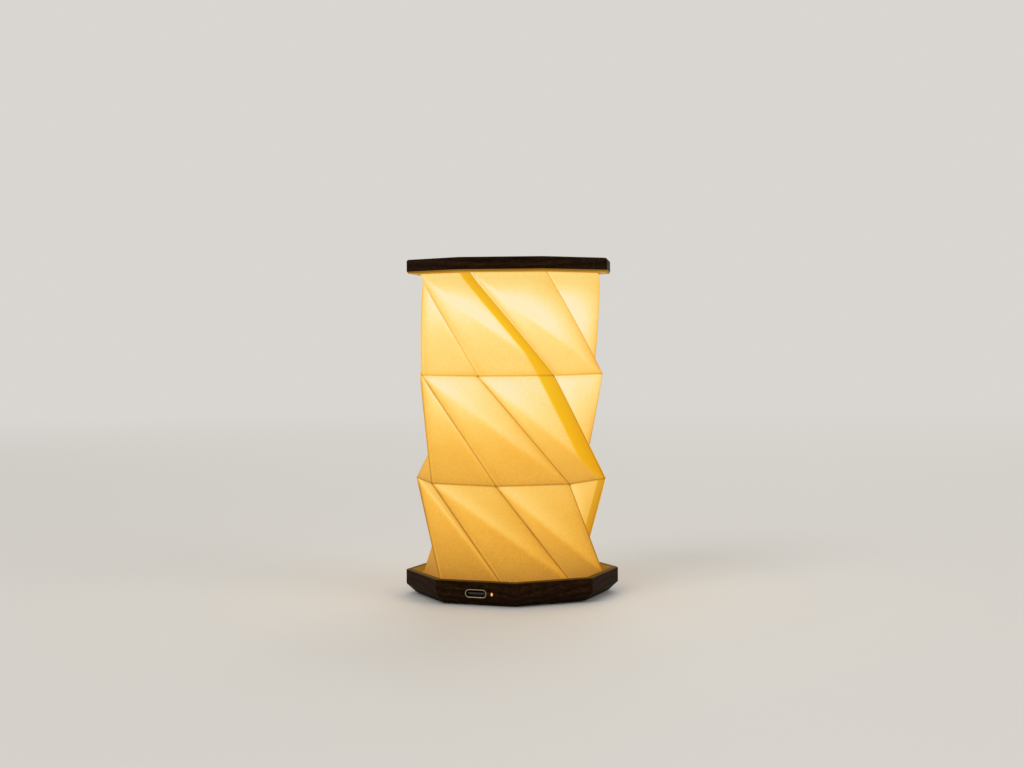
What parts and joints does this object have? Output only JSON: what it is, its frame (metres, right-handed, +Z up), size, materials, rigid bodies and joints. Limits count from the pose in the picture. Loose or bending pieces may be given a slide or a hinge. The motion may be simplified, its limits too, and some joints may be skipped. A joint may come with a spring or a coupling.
{
  "type": "pleated paper table lamp",
  "caption": "Folding table lamp: a twisting bellows shade of creased paper between two octagonal walnut plates, lit from under the top plate, charged at the base.",
  "frame": {"origin": "middle of the face that the lamp stands on", "axes": "+Z up through both plates, -Y towards the front of the picture"},
  "size_m": [0.0864, 0.0864, 0.1354],
  "materials": {
    "walnut": "dark oiled walnut, satin, fine straight grain",
    "shade_paper": "warm white mulberry paper, matt, lit from inside",
    "lining_card": "warm white card, matt",
    "opal_plastic": "opal acrylic disc, lit from above",
    "cover_plastic": "fine-textured black moulding",
    "silicone": "matt silicone rubber",
    "screw_steel": "plated steel",
    "socket_steel": "bright drawn steel",
    "socket_plastic": "black moulding",
    "circuit_board": "green lacquered board",
    "light_board_enamel": "white lacquered board",
    "component_plastic": "black moulded packages",
    "connector_plastic": "natural moulded connector",
    "led_package": "yellow phosphor over white package",
    "clear_pipe": "clear moulded light pipe, glowing amber",
    "battery_foil": "silver laminate pouch",
    "magnet_nickel": "nickel-plated"
  },
  "bodies": {
    "base": {"base_tray": "walnut", "bottom_cover": "cover_plastic", "cover_screws": "screw_steel", "foot_pads": "silicone", "charging_socket_shell": "socket_steel", "charging_socket_tongue": "socket_plastic", "control_board": "circuit_board", "charging_chip": "component_plastic", "converter_coil": "component_plastic", "closing_sensor": "component_plastic", "board_lead_socket": "connector_plastic", "indicator_led": "led_package", "indicator_light_pipe": "clear_pipe", "battery": "battery_foil", "base_magnets": "magnet_nickel", "recess_floor": "lining_card", "lead_grommet": "silicone"},
    "shade": {"pleated_shade": "shade_paper"},
    "top": {"top_plate": "walnut", "shade_ceiling": "lining_card", "light_diffuser": "opal_plastic", "light_board": "light_board_enamel", "light_emitters": "led_package", "light_lead_socket": "connector_plastic", "top_magnets": "magnet_nickel"}
  },
  "joints": [
    {"name": "shade_twist", "type": "hinge", "parent": "base", "child": "shade", "pos_m": [0, 0, 0], "axis": [0, 0, 1], "range_deg": [-105.8, 0]},
    {"name": "top_slide", "type": "slide", "parent": "shade", "child": "top", "axis": [0, 0, -1], "range_m": [0, 0.1196], "deforming": ["pleated_shade"]}
  ],
  "couplings": [
    {"joint": "shade_twist", "follows": "top_slide", "rad_per_m": -15.439}
  ]
}
